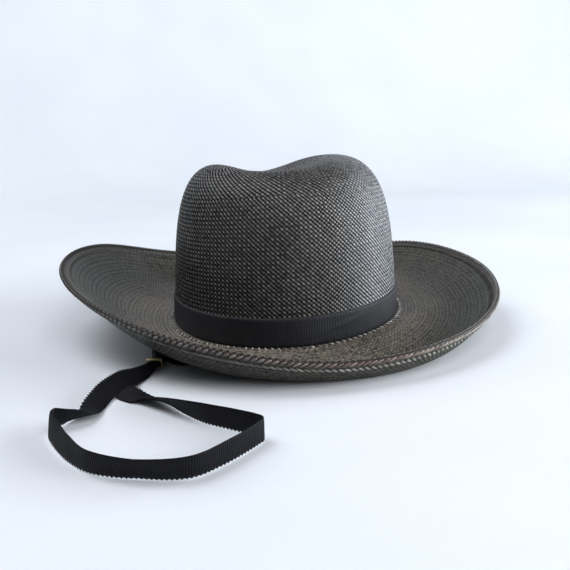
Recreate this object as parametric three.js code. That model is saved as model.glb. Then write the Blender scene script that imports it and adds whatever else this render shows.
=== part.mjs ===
// Riding hat: black woven straw crown and brim, plaited edge, ribbon band, ribbon chin strap with a slider.
// Millimetres, +Z up. The front is toward -Y and +X is on the right when the hat is seen from the front.
import * as THREE from 'three';

// Crown and head opening
const crownCentre = { x: 1.9, y: -2.6 };
const foot = { halfWidth: 85.8, halfLength: 100.3, height: 9.1, tilt: 4.3, rake: 1.2 };
const crownHeight = 120.3; // from the foot to the ridges, before the dent is pressed in
const crownTaper = { width: 6.6, length: 7 };
const crownLean = { x: -1.1, y: -2.4 };
// Exponents of the rounded shoulder at the front and back and at the sides, larger is squarer
const shoulder = { front: { plan: 3.2, height: 6.2 }, side: { plan: 5.2, height: 3.9 } };
const dent = { depth: 14.7, halfWidth: 35, offset: -8.4, flare: 0.1, fade: 3.6, from: -89, to: -21 };
const ridgeRise = { right: 1.1, back: 0.65 };

// Brim
const rim = { halfWidth: 164.9, halfLength: 166.3 };
const strawWall = 2;

// Heights of the brim's top face at a third, two thirds and all of its width.
// angle runs from the front (0) past the right side (90) and the back (180).
const brimSections = [
  { angle: 0, third: 2.6, twoThirds: 1.2, edge: 18.8 },
  { angle: 30, third: 6.2, twoThirds: 1.6, edge: 20.7 },
  { angle: 60, third: 10.6, twoThirds: 11.7, edge: 29.7 },
  { angle: 90, third: 15.2, twoThirds: 21.9, edge: 39 },
  { angle: 120, third: 14, twoThirds: 22.7, edge: 41.7 },
  { angle: 150, third: 5.2, twoThirds: 7.4, edge: 28.5 },
  { angle: 180, third: 1.4, twoThirds: 1.8, edge: 19.4 },
  { angle: 210, third: 5, twoThirds: 9, edge: 35.8 },
  { angle: 240, third: 10.8, twoThirds: 26.7, edge: 55.1 },
  { angle: 270, third: 11.5, twoThirds: 31.4, edge: 55.9 },
  { angle: 300, third: 5, twoThirds: 21, edge: 45.6 },
  { angle: 330, third: 4.5, twoThirds: 7.4, edge: 30.4 },
];

// Plaited edge, ribbon band
const braid = { halfWidth: 4.2, halfThick: 1.7 };
const gap = 0.6; // between the shell and the plaited edge
const band = { width: 19.5, thick: 0.9, lift: 0.5, gap: 0.4 };

// Chin strap and slider
const strap = { thick: 0.8, step: 9 };
const slider = { x: -102.5, y: -93, turn: 24, openWidth: 9.4, openHeight: 3.4, wire: 1, length: 2 };

// Route of the strap's middle line, from its sewn end on the left to the one on the right.
// lift is the height of the lower edge. lean is 0 where the ribbon lies flat, 90 where it stands with
// its right-hand edge up and -90 with that edge down.
const strapRoute = [
  { x: -80.1, y: 0, lift: 24, lean: 0, wide: 12.7 },
  { x: -80.4, y: 0, lift: 8, lean: 0, wide: 12.7 },
  { x: -80.4, y: 0, lift: 3, lean: 0, wide: 12.7 },
  { x: -81.2, y: 0, lift: 0.8, lean: 0, wide: 12.7 },
  { x: -83.5, y: -0.3, lift: 0.25, lean: 0, wide: 12.7 },
  { x: -91, y: -4.5, lift: 0.25, lean: 0, wide: 12.7 },
  { x: -96.5, y: -20, lift: 0.25, lean: 0, wide: 12.7 },
  { x: -97.5, y: -48, lift: 0.25, lean: 0, wide: 12.7 },
  { x: -98, y: -70, lift: 0.7, lean: 0, wide: 12 },
  { x: -99.4, y: -83.5, lift: 2.2, lean: 0, wide: 9 },
  { x: -102.5, y: -93, lift: 2.6, lean: 0, wide: 8.2 },
  { x: -106.5, y: -102, lift: 2, lean: 8, wide: 10.5 },
  { x: -112, y: -111.5, lift: 1.7, lean: 16, wide: 12.7 },
  { x: -120, y: -124, lift: 1.7, lean: 34, wide: 12.7 },
  { x: -129.5, y: -139.5, lift: 1.2, lean: 36, wide: 12.7 },
  { x: -136, y: -156, lift: 0.5, lean: 24, wide: 12.7 },
  { x: -140, y: -168, lift: 0.3, lean: -14, wide: 12.7 },
  { x: -147, y: -175.5, lift: 0.3, lean: -52, wide: 12.7 },
  { x: -154.2, y: -179.5, lift: 0.3, lean: -80, wide: 12.7 },
  { x: -155.6, y: -185.5, lift: 0.3, lean: -82, wide: 12.7 },
  { x: -150, y: -201, lift: 0.3, lean: -74, wide: 12.7 },
  { x: -143, y: -217, lift: 0.3, lean: -82, wide: 12.7 },
  { x: -133, y: -232, lift: 0.3, lean: -98, wide: 12.7 },
  { x: -113, y: -243, lift: 0.3, lean: -112, wide: 12.7 },
  { x: -90, y: -247.5, lift: 0.3, lean: -104, wide: 12.7 },
  { x: -73, y: -237.5, lift: 0.3, lean: -98, wide: 12.7 },
  { x: -55.2, y: -221.3, lift: 0.3, lean: -94, wide: 12.7 },
  { x: -52.6, y: -217.6, lift: 0.3, lean: -90, wide: 12.7 },
  { x: -54.6, y: -213.6, lift: 0.3, lean: -88, wide: 12.7 },
  { x: -66, y: -203, lift: 0.3, lean: -86, wide: 12.7 },
  { x: -79.5, y: -191.5, lift: 0.3, lean: -80, wide: 12.7 },
  { x: -91.5, y: -177, lift: 0.3, lean: -58, wide: 12.7 },
  { x: -100, y: -163.5, lift: 0.3, lean: -36, wide: 12.7 },
  { x: -108, y: -151.5, lift: 0.3, lean: -12, wide: 12.7 },
  { x: -115, y: -146, lift: 0.3, lean: 16, wide: 12.7 },
  { x: -120, y: -139, lift: 0.3, lean: 18, wide: 12.7 },
  { x: -118, y: -126, lift: 0.3, lean: 6, wide: 12.7 },
  { x: -112, y: -113, lift: 0.3, lean: 0, wide: 12 },
  { x: -106.8, y: -102.5, lift: 0.8, lean: 0, wide: 9.5 },
  { x: -102.5, y: -93, lift: 1.3, lean: 0, wide: 8.2 },
  { x: -98.4, y: -84.4, lift: 0.7, lean: 0, wide: 8.6 },
  { x: -91.5, y: -83, lift: 0.3, lean: 0, wide: 10.5 },
  { x: -84.5, y: -91, lift: 0.3, lean: 0, wide: 12 },
  { x: -75, y: -91.5, lift: 0.25, lean: 0, wide: 12.7 },
  { x: -58, y: -80, lift: 0.25, lean: 0, wide: 12.7 },
  { x: -15, y: -62, lift: 0.25, lean: 0, wide: 12.7 },
  { x: 40, y: -26, lift: 0.25, lean: 0, wide: 12.7 },
  { x: 70, y: -4, lift: 0.25, lean: 0, wide: 12.7 },
  { x: 80.5, y: -0.4, lift: 1.4, lean: 0, wide: 12.7 },
  { x: 83.4, y: 0, lift: 6, lean: 0, wide: 12.7 },
  { x: 83.4, y: 0, lift: 32, lean: 0, wide: 12.7 },
];

// Mesh density
const columns = 60;
const crownRows = 20;
const brimRows = 7;

// Periodic smooth value of one column of the brim table
function aroundBrim(angle, column) {
  const count = brimSections.length;
  const place = (angle / (2 * Math.PI)) * count;
  const first = Math.floor(place);
  const t = place - first;
  const [a, b, c, d] = [-1, 0, 1, 2].map((k) => brimSections[(first + k + count * 2) % count][column]);
  return b + 0.5 * t * (c - a + t * (2 * a - 5 * b + 4 * c - d + t * (3 * (b - c) + d - a)));
}

// Top face of the straw where the brim meets the crown: lower on the left, higher at the back
function footLevel(angle) {
  return foot.height + foot.tilt * Math.sin(angle) - foot.rake * Math.cos(angle);
}

// Top face of the brim: reach is 0 at the crown and 1 at the rim
function brimPoint(reach, angle) {
  const between = (inside, outside) => inside + (outside - inside) * reach;
  const x = between(crownCentre.x, 0) + between(foot.halfWidth, rim.halfWidth) * Math.sin(angle);
  const y = between(crownCentre.y, 0) - between(foot.halfLength, rim.halfLength) * Math.cos(angle);
  // cubic through the four heights of this section
  const heights = [footLevel(angle), ...['third', 'twoThirds', 'edge'].map((name) => aroundBrim(angle, name))];
  let z = 0;
  heights.forEach((height, i) => {
    let weight = 1;
    for (let k = 0; k < 4; k += 1) {
      if (k !== i) weight *= (reach * 3 - k) / (i - k);
    }
    z += height * weight;
  });
  return new THREE.Vector3(x, y, Math.max(z, strawWall));
}

// Crown in plan at a share of its height, with spread 1 at the wall and 0 in the middle
function crownPlan(rise, spread, angle, out) {
  return {
    x: crownCentre.x + crownLean.x * rise
      + (foot.halfWidth - crownTaper.width * rise + out) * spread * Math.sin(angle),
    y: crownCentre.y + crownLean.y * rise
      - (foot.halfLength - crownTaper.length * rise + out) * spread * Math.cos(angle),
  };
}

// Outside of the crown: sweep is 0 at the foot and 1 at the middle of the top
function crownPoint(sweep, angle) {
  const turn = sweep * Math.PI / 2;
  const facing = Math.cos(angle) ** 2;
  const exponent = (name) => THREE.MathUtils.lerp(shoulder.side[name], shoulder.front[name], facing);
  const spread = Math.cos(turn) ** (2 / exponent('plan'));
  const rise = Math.sin(turn) ** (2 / exponent('height'));
  const { x, y } = crownPlan(rise, spread, angle, 0);
  const level = footLevel(angle);
  let z = level + (foot.height - level) * rise + crownHeight * rise;
  // the dent starts behind the front of the crown, widens a little and runs out at the back
  const across = (x - dent.offset) / (dent.halfWidth * (1 + dent.flare * y / 100));
  const along = THREE.MathUtils.smoothstep(y, dent.from, dent.to);
  z -= dent.depth * Math.exp(-across * across) * along * rise ** dent.fade;
  z += (ridgeRise.right * x / 80 + ridgeRise.back * y / 100) * rise ** 2;
  return new THREE.Vector3(x, y, z);
}

// Evenly spaced places along the crown's profile at an angle
function evenSweeps(count, angle) {
  const samples = 400;
  // samples lie closer together toward both ends, where the profile turns faster
  const sweepAt = (i) => ((1 - Math.cos(Math.PI * i / samples)) / 2) ** 2;
  const lengths = [0];
  for (let i = 1; i <= samples; i += 1) {
    const step = crownPoint(sweepAt(i), angle).distanceTo(crownPoint(sweepAt(i - 1), angle));
    lengths.push(lengths[i - 1] + step);
  }
  const sweeps = [];
  for (let k = 0; k <= count; k += 1) {
    const target = lengths[samples] * k / count;
    const i = Math.max(1, lengths.findIndex((value) => value >= target - 1e-9));
    const part = (target - lengths[i - 1]) / (lengths[i] - lengths[i - 1]);
    sweeps.push(THREE.MathUtils.lerp(sweepAt(i - 1), sweepAt(i), part));
  }
  return sweeps;
}

// Unit normal of a surface function: into the head on the crown, upward on the brim
function normalAt(surface, u, angle) {
  const du = u > 0.5 ? -0.004 : 0.004;
  const along = surface(u + du, angle).sub(surface(u, angle)).multiplyScalar(Math.sign(du));
  const around = surface(u, angle + 0.01).sub(surface(u, angle - 0.01));
  return along.cross(around).normalize();
}

// Closed body from rings of points, with a single point or a flat cap at each end
function lathLike(rings, firstPole, lastPole) {
  const positions = [];
  const faces = [];
  const width = rings[0].length;
  rings.flat().forEach((p) => positions.push(p.x, p.y, p.z));
  for (let i = 0; i + 1 < rings.length; i += 1) {
    for (let j = 0; j < width; j += 1) {
      const a = i * width + j;
      const b = i * width + (j + 1) % width;
      faces.push(a, b, b + width, a, b + width, a + width);
    }
  }
  [[firstPole, 0], [lastPole, (rings.length - 1) * width]].forEach(([pole, start], end) => {
    if (!pole) return;
    const tip = positions.length / 3;
    positions.push(pole.x, pole.y, pole.z);
    for (let j = 0; j < width; j += 1) {
      const a = start + j;
      const b = start + (j + 1) % width;
      faces.push(...(end === 0 ? [b, a, tip] : [a, b, tip]));
    }
  });
  return finished(positions, faces);
}

// Closed loop of sections, each a ring of points
function loopOf(sections) {
  const positions = [];
  const faces = [];
  const width = sections[0].length;
  sections.flat().forEach((p) => positions.push(p.x, p.y, p.z));
  for (let i = 0; i < sections.length; i += 1) {
    const next = (i + 1) % sections.length;
    for (let j = 0; j < width; j += 1) {
      const k = (j + 1) % width;
      const [a, b, c, d] = [i * width + j, i * width + k, next * width + k, next * width + j];
      faces.push(a, b, c, a, c, d);
    }
  }
  return finished(positions, faces);
}

// Turn the faces outward by the sign of the volume, and make the geometry
function finished(positions, faces) {
  const corner = (i) => new THREE.Vector3().fromArray(positions, i * 3);
  let volume = 0;
  for (let i = 0; i < faces.length; i += 3) {
    volume += corner(faces[i]).dot(corner(faces[i + 1]).cross(corner(faces[i + 2])));
  }
  if (volume < 0) {
    for (let i = 0; i < faces.length; i += 3) {
      [faces[i], faces[i + 1]] = [faces[i + 1], faces[i]];
    }
  }
  const geometry = new THREE.BufferGeometry();
  geometry.setAttribute('position', new THREE.Float32BufferAttribute(positions, 3));
  geometry.setIndex(faces);
  geometry.computeVertexNormals();
  return geometry;
}

const angles = Array.from({ length: columns }, (_, j) => (j / columns) * 2 * Math.PI);

// Reach at a distance in from the rim, measured along the brim
function reachFromRim(distance, angle) {
  const step = 0.02;
  const local = brimPoint(1, angle).distanceTo(brimPoint(1 - step, angle)) / step;
  return 1 - distance / local;
}

// Crown and brim as one hollow woven shell
function strawBody() {
  const sweeps = angles.map((a) => evenSweeps(crownRows, a));
  const outer = [];
  const inner = [];
  for (let k = crownRows - 1; k > 0; k -= 1) {
    outer.push(angles.map((a, j) => crownPoint(sweeps[j][k], a)));
    inner.push(angles.map((a, j) => crownPoint(sweeps[j][k], a)
      .addScaledVector(normalAt(crownPoint, sweeps[j][k], a), strawWall)));
  }
  outer.push(angles.map((a) => crownPoint(0, a)));
  inner.push(angles.map((a) => {
    const { x, y } = crownPlan(0, 1, a, -strawWall);
    return new THREE.Vector3(x, y, footLevel(a) - strawWall);
  }));
  for (let k = 1; k <= brimRows; k += 1) {
    const reach = (a) => reachFromRim(2 * braid.halfWidth + gap, a) * k / brimRows;
    outer.push(angles.map((a) => brimPoint(reach(a), a)));
    inner.push(angles.map((a) => {
      const under = brimPoint(reach(a), a).addScaledVector(normalAt(brimPoint, reach(a), a), -strawWall);
      under.z = Math.max(under.z, 0); // the brim rests flat where it meets the table
      return under;
    }));
  }
  const top = crownPoint(1, 0);
  const lining = top.clone().setZ(top.z - strawWall);
  return lathLike([...inner, ...outer.reverse()], lining, top);
}

// Plaited straw edge that closes the brim
function brimEdgeBraid() {
  const outline = [[-1, 0], [-0.55, 1], [0.5, 1], [1, 0], [0.5, -1], [-0.55, -1]];
  return loopOf(angles.map((a) => {
    const rim = brimPoint(1, a);
    const inward = brimPoint(reachFromRim(2 * braid.halfWidth, a), a);
    const across = rim.clone().sub(inward).normalize();
    const up = normalAt(brimPoint, reachFromRim(braid.halfWidth, a), a);
    const middle = rim.clone().add(inward).multiplyScalar(0.5).addScaledVector(up, -strawWall / 2);
    return outline.map(([w, t]) => middle.clone()
      .addScaledVector(across, w * braid.halfWidth).addScaledVector(up, t * braid.halfThick));
  }));
}

// Ribbon band round the foot of the crown
function hatBand() {
  const ring = (height, out) => angles.map((a) => {
    const rise = height / crownHeight;
    const { x, y } = crownPlan(rise, 1, a, out);
    const level = footLevel(a);
    return new THREE.Vector3(x, y, level + (foot.height - level) * rise + height);
  });
  const low = band.lift;
  const high = band.lift + band.width;
  const rings = [
    ring(low, band.gap), ring(low, band.gap + band.thick),
    ring(high, band.gap + band.thick), ring(high, band.gap),
  ];
  return loopOf(angles.map((_, j) => rings.map((points) => points[j])));
}

// Ribbon swept along its route
function chinStrap() {
  const middle = strapRoute.map((row) => {
    const lean = THREE.MathUtils.degToRad(row.lean);
    const half = Math.abs(Math.sin(lean)) * row.wide / 2 + Math.abs(Math.cos(lean)) * strap.thick / 2;
    return new THREE.Vector3(row.x, row.y, row.lift + half);
  });
  const curve = new THREE.CatmullRomCurve3(middle, false, 'centripetal');
  const legs = strapRoute.length - 1;
  const samples = [];
  for (let k = 0; k < legs; k += 1) {
    const parts = Math.max(1, Math.round(middle[k].distanceTo(middle[k + 1]) / strap.step));
    for (let i = 0; i < parts + (k === legs - 1 ? 1 : 0); i += 1) {
      const mix = (name) => THREE.MathUtils.lerp(strapRoute[k][name], strapRoute[k + 1][name], i / parts);
      const t = (k + i / parts) / legs;
      samples.push({
        at: curve.getPoint(t), ahead: curve.getTangent(t),
        lean: THREE.MathUtils.degToRad(mix('lean')), wide: mix('wide'),
      });
    }
  }
  const sections = samples.map(({ at, ahead, lean, wide }, i) => {
    // level direction across the ribbon; where it climbs the crown's wall it lies along that wall
    const across = Math.hypot(ahead.x, ahead.y) > 0.5
      ? new THREE.Vector3(ahead.y, -ahead.x, 0).normalize()
      : new THREE.Vector3(0, i < samples.length / 2 ? 1 : -1, 0);
    const width = across.clone().multiplyScalar(Math.cos(lean)).add(new THREE.Vector3(0, 0, Math.sin(lean)));
    width.addScaledVector(ahead, -width.dot(ahead)).normalize();
    const thick = new THREE.Vector3().crossVectors(ahead, width).normalize();
    return [[-1, -1], [1, -1], [1, 1], [-1, 1]].map(([w, t]) => at.clone()
      .addScaledVector(width, w * wide / 2).addScaledVector(thick, t * strap.thick / 2));
  });
  const middleOf = (ring) => ring.reduce((sum, p) => sum.add(p), new THREE.Vector3()).multiplyScalar(1 / ring.length);
  return lathLike(sections, middleOf(sections[0]), middleOf(sections[sections.length - 1]));
}

// Flat metal keeper that both strands pass through
function strapSlider() {
  const halfWidth = slider.openWidth / 2 + slider.wire;
  const halfHeight = slider.openHeight / 2 + slider.wire;
  const roundedBox = (path, w, h, r) => {
    path.moveTo(-w + r, -h);
    path.lineTo(w - r, -h);
    path.absarc(w - r, -h + r, r, -Math.PI / 2, 0, false);
    path.absarc(w - r, h - r, r, 0, Math.PI / 2, false);
    path.absarc(-w + r, h - r, r, Math.PI / 2, Math.PI, false);
    path.absarc(-w + r, -h + r, r, Math.PI, Math.PI * 1.5, false);
    return path;
  };
  const shape = roundedBox(new THREE.Shape(), halfWidth, halfHeight, 1.8);
  shape.holes.push(roundedBox(new THREE.Path(), slider.openWidth / 2, slider.openHeight / 2, 0.7));
  const geometry = new THREE.ExtrudeGeometry(shape, { depth: slider.length, bevelEnabled: false, curveSegments: 3 });
  geometry.translate(0, 0, -slider.length / 2);
  geometry.rotateX(Math.PI / 2);
  return geometry;
}

function piece(name, geometry, color, roughness, metalness) {
  const mesh = new THREE.Mesh(geometry, new THREE.MeshStandardMaterial({ color, roughness, metalness }));
  mesh.name = name;
  return mesh;
}

const hat = new THREE.Group();
hat.add(piece('straw_body', strawBody(), 0x35342f, 0.55, 0));
hat.add(piece('brim_edge_braid', brimEdgeBraid(), 0x4b4640, 0.6, 0));
hat.add(piece('hat_band', hatBand(), 0x1d1e21, 0.7, 0));

const strapSet = new THREE.Group();
strapSet.add(piece('chin_strap', chinStrap(), 0x141416, 0.8, 0));
const keeper = piece('strap_slider', strapSlider(), 0xc9a35a, 0.3, 1);
keeper.position.set(slider.x, slider.y, slider.openHeight / 2 + slider.wire);
keeper.rotation.z = THREE.MathUtils.degToRad(-slider.turn);
strapSet.add(keeper);
hat.add(strapSet);

export default hat;
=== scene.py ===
# Black woven straw riding hat with a ribbon band, a plaited edge and a ribbon chin strap, on a pale table
import math

import bpy
import numpy as np
from mathutils import Matrix, Vector


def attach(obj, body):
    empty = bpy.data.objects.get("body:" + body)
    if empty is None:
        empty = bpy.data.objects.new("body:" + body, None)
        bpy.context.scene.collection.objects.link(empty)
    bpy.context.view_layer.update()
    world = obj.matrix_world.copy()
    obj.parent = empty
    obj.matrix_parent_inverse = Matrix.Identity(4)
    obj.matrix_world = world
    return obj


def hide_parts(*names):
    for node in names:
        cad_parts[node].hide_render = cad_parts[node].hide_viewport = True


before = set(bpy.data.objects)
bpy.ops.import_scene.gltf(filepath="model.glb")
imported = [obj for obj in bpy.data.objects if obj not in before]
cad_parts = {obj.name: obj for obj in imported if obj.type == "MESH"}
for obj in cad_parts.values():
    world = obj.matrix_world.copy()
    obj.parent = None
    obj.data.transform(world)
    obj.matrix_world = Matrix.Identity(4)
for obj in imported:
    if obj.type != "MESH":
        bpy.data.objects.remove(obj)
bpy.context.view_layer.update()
mm = 0.001

# Camera, at the height and angle of the photograph
cameraSettings = {
    "azimuth": -11.379,
    "elevation": 12.91,
    "roll": -1.415,
    "distance": 527.35,
    "target": (0.35, -14.97, 29.62),
    "focalPixels": 681.055,
    "framePixels": 570,
    "sensor": 36,
    "clip": (0.01, 20),
}


def placeCamera(s):
    turn = math.radians(s["azimuth"])
    lift = math.radians(s["elevation"])
    roll = math.radians(s["roll"])
    back = Vector((math.sin(turn) * math.cos(lift), -math.cos(turn) * math.cos(lift), math.sin(lift)))
    level = Vector((math.cos(turn), math.sin(turn), 0))
    up = level.cross(-back)
    right = level * math.cos(roll) + up * math.sin(roll)
    top = up * math.cos(roll) - level * math.sin(roll)
    place = (Vector(s["target"]) + back * s["distance"]) * mm
    data = bpy.data.cameras.new("viewpoint")
    data.sensor_fit = "HORIZONTAL"
    data.sensor_width = s["sensor"]
    data.lens = s["focalPixels"] * data.sensor_width / s["framePixels"]
    data.clip_start, data.clip_end = s["clip"]
    camera = bpy.data.objects.new("viewpoint", data)
    camera.matrix_world = Matrix((
        (right.x, top.x, back.x, place.x),
        (right.y, top.y, back.y, place.y),
        (right.z, top.z, back.z, place.z),
        (0, 0, 0, 1),
    ))
    bpy.context.scene.collection.objects.link(camera)
    bpy.context.scene.camera = camera


placeCamera(cameraSettings)
print("camera placed")


# Shader maths: a socket that can stand in a sum, and one method for every other node
class Wire:
    def __init__(self, tree, socket=None):
        self.tree = tree
        self.socket = socket

    def node(self, kind, settings=None, values=None, output=0):
        made = self.tree.nodes.new(kind)
        for name, value in (settings or {}).items():
            setattr(made, name, value)
        for name, value in (values or {}).items():
            if isinstance(value, Wire):
                self.tree.links.new(value.socket, made.inputs[name])
            else:
                made.inputs[name].default_value = value
        return Wire(self.tree, made.outputs[output])

    def maths(self, operation, *values):
        return self.node("ShaderNodeMath", {"operation": operation}, dict(enumerate(values)))

    def __add__(self, other):
        return self.maths("ADD", self, other)

    __radd__ = __add__

    def __sub__(self, other):
        return self.maths("SUBTRACT", self, other)

    def __rsub__(self, other):
        return self.maths("SUBTRACT", other, self)

    def __mul__(self, other):
        return self.maths("MULTIPLY", self, other)

    __rmul__ = __mul__

    def __truediv__(self, other):
        return self.maths("DIVIDE", self, other)

    def __gt__(self, other):
        return self.maths("GREATER_THAN", self, other)

    def between(self, low, high):  # 0 at low, 1 at high, soft in between
        return self.node(
            "ShaderNodeMapRange",
            {"interpolation_type": "SMOOTHSTEP"},
            {"Value": self, "From Min": low, "From Max": high},
        )

    def blend(self, first, second):  # colour mix, self is the share of the second
        settings = {"data_type": "RGBA", "clamp_factor": True}
        return self.node("ShaderNodeMix", settings, {0: self, 6: first, 7: second}, 2)

    def noise(self, place, scale, detail, stretch=(1, 1, 1)):
        spread = self.node("ShaderNodeMapping", None, {"Vector": place, "Scale": stretch})
        return self.node("ShaderNodeTexNoise", None, {"Vector": spread, "Scale": scale, "Detail": detail})

    def wave(self, pitch):  # 1 on each crest, 0 in each valley
        return self.maths("COSINE", self * (2 * math.pi / pitch)) * 0.5 + 0.5

    def part(self, which):  # one coordinate of a place
        return self.node("ShaderNodeSeparateXYZ", None, {0: self}, which)

    def layer(self, name):  # places along and across the strands or the ribbon
        return self.node("ShaderNodeUVMap", {"uv_map": name})

    def objectPlace(self):
        return self.node("ShaderNodeTexCoord", output=3)

    def bump(self, height, strength, distance):  # distance in millimetres
        values = {"Height": height, "Strength": strength, "Distance": distance * mm}
        return self.node("ShaderNodeBump", None, values)


def newMaterial(name, roughness, metallic=0, **constants):
    material = bpy.data.materials.new(name)
    material.use_nodes = True
    shader = material.node_tree.nodes["Principled BSDF"]
    shader.inputs["Roughness"].default_value = roughness
    shader.inputs["Metallic"].default_value = metallic
    for socket, value in constants.items():
        shader.inputs[socket.replace("_", " ")].default_value = value
    return material, shader, Wire(material.node_tree)


def connect(material, shader, **wires):
    for socket, wire in wires.items():
        material.node_tree.links.new(wire.socket, shader.inputs[socket.replace("_", " ")])
    return material


def shadeGaps(material, shader, draw, share, shade):
    # painted shade: a dull near-black shader in the gaps between the strands, where share is 0
    dull = {"Base Color": shade, "Roughness": 1, "Specular IOR Level": 0}
    gaps = draw.node("ShaderNodeBsdfPrincipled", None, dull)
    straw = Wire(material.node_tree, shader.outputs["BSDF"])
    mixed = draw.node("ShaderNodeMixShader", None, {0: share, 1: gaps, 2: straw})
    output = material.node_tree.nodes["Material Output"]
    material.node_tree.links.new(mixed.socket, output.inputs["Surface"])


# Forms of the hat, in millimetres. Angles run from the front past the right side to the back.
crown = {
    "centre": (1.9, -2.6),
    "halfWidth": 85.8,
    "halfLength": 100.3,
    "footHeight": 9.1,
    "footTilt": 4.3,
    "footRake": 1.2,
    "height": 120.3,
    "taper": (6.6, 7),
    "lean": (-1.1, -2.4),
    "frontShoulder": (3.2, 6.2),
    "sideShoulder": (5.2, 3.9),
    "dentDepth": 14.7,
    "dentHalfWidth": 35,
    "dentOffset": -8.4,
    "dentFlare": 0.001,  # share by which the dent widens with each millimetre toward the back
    "dentFade": 3.6,
    "dentFrom": -89,
    "dentTo": -21,
    "ridgeRise": (1.1, 0.65),  # at the two distances below, to the right and to the back
    "ridgeReach": (80, 100),
    "wall": 2,
    "perimeter": 585,  # of the foot
}
brim = {
    "halfWidth": 164.9,
    "halfLength": 166.3,
    # height of the top face at a third, two thirds and all of the brim's width, every 30 degrees
    "third": (2.6, 6.2, 10.6, 15.2, 14, 5.2, 1.4, 5, 10.8, 11.5, 5, 4.5),
    "twoThirds": (1.2, 1.6, 11.7, 21.9, 22.7, 7.4, 1.8, 9, 26.7, 31.4, 21, 7.4),
    "edge": (18.8, 20.7, 29.7, 39, 41.7, 28.5, 19.4, 35.8, 55.1, 55.9, 45.6, 30.4),
    "edgeHalfWidth": 4.2,
    "edgeHalfThick": 1.7,
}


def aroundBrim(angle, heights):  # smooth closed curve through the heights
    values = np.array(heights, float)
    place = angle / (2 * math.pi) * len(values)
    first = np.floor(place).astype(int)
    t = place - first
    a, b, c, d = (values[(first + k) % len(values)] for k in (-1, 0, 1, 2))
    return b + 0.5 * t * (c - a + t * (2 * a - 5 * b + 4 * c - d + t * (3 * (b - c) + d - a)))


def footLevel(angle):
    return crown["footHeight"] + crown["footTilt"] * np.sin(angle) - crown["footRake"] * np.cos(angle)


def crownPlan(rise, spread, angle, out):
    x = crown["centre"][0] + crown["lean"][0] * rise
    y = crown["centre"][1] + crown["lean"][1] * rise
    x = x + (crown["halfWidth"] - crown["taper"][0] * rise + out) * spread * np.sin(angle)
    y = y - (crown["halfLength"] - crown["taper"][1] * rise + out) * spread * np.cos(angle)
    return x, y


def crownPoint(sweep, angle):  # sweep is 0 at the foot and 1 at the middle of the top
    turn = sweep * math.pi / 2 + 0 * angle
    facing = np.cos(angle) ** 2
    plan, height = (
        side + (front - side) * facing for front, side in zip(crown["frontShoulder"], crown["sideShoulder"])
    )
    spread = np.maximum(np.cos(turn), 0) ** (2 / plan)
    rise = np.sin(turn) ** (2 / height)
    x, y = crownPlan(rise, spread, angle, 0)
    level = footLevel(angle)
    z = level + (crown["footHeight"] - level) * rise + crown["height"] * rise
    across = (x - crown["dentOffset"]) / (crown["dentHalfWidth"] * (1 + crown["dentFlare"] * y))
    along = np.clip((y - crown["dentFrom"]) / (crown["dentTo"] - crown["dentFrom"]), 0, 1)
    along = along * along * (3 - 2 * along)
    z = z - crown["dentDepth"] * np.exp(-across * across) * along * rise ** crown["dentFade"]
    toRight, toBack = (most / far for most, far in zip(crown["ridgeRise"], crown["ridgeReach"]))
    z = z + (toRight * x + toBack * y) * rise ** 2
    return np.stack([x, y, z], axis=-1)


def brimPoint(reach, angle):  # reach is 0 at the crown and 1 at the rim
    x = crown["centre"][0] * (1 - reach)
    y = crown["centre"][1] * (1 - reach)
    x = x + (crown["halfWidth"] + (brim["halfWidth"] - crown["halfWidth"]) * reach) * np.sin(angle)
    y = y - (crown["halfLength"] + (brim["halfLength"] - crown["halfLength"]) * reach) * np.cos(angle)
    heights = [footLevel(angle)] + [aroundBrim(angle, brim[k]) for k in ("third", "twoThirds", "edge")]
    z = 0  # cubic through the four heights
    for i, height in enumerate(heights):
        weight = 1
        for k in range(4):
            if k != i:
                weight = weight * (reach * 3 - k) / (i - k)
        z = z + height * weight
    return np.stack([x, y, np.maximum(z, crown["wall"])], axis=-1)


def unit(vectors):  # directions, and nothing is divided by 0
    return vectors / np.maximum(np.linalg.norm(vectors, axis=-1, keepdims=True), 1e-9)


probe = {"along": 0.004, "around": 0.01, "rim": 0.02}  # small steps that show how a surface runs


def normalAt(surface, u, angle):  # into the head on the crown, upward on the brim
    step = np.where(np.asarray(u) > 0.5, -probe["along"], probe["along"]) + 0 * angle
    along = (surface(u + step, angle) - surface(u, angle)) * np.sign(step)[:, None]
    around = surface(u, angle + probe["around"]) - surface(u, angle - probe["around"])
    return unit(np.cross(along, around))


def rimSlope(angle):  # length of the brim's surface for one unit of reach, at the rim
    rim, inside = (brimPoint(1 - step + 0 * angle, angle) for step in (0, probe["rim"]))
    return np.linalg.norm(rim - inside, axis=-1) / probe["rim"]


def reachFromRim(distance, angle):
    return 1 - distance / rimSlope(angle)


def innerFoot(angles):  # ring where the inside of the crown meets the underside of the brim
    x, y = crownPlan(0, 1, angles, -crown["wall"])
    return np.stack([x, y, footLevel(angles) - crown["wall"]], axis=-1)


def ringAngles(count):  # the seam is at the back
    return math.pi + 2 * math.pi * np.arange(count) / count


# A woven surface is a stack of rings. Where strands cross, the mesh stands up, and between crossings it dips.
def wovenRing(points, normals, row, relief):
    count = len(points)
    sign = np.where((np.arange(count) + row) % 2 == 0, 1, -1)[:, None]
    return {"points": points + normals * relief * sign, "row": row, "count": count}


strandShare = 0.5  # two columns or two rows make one strand


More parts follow.
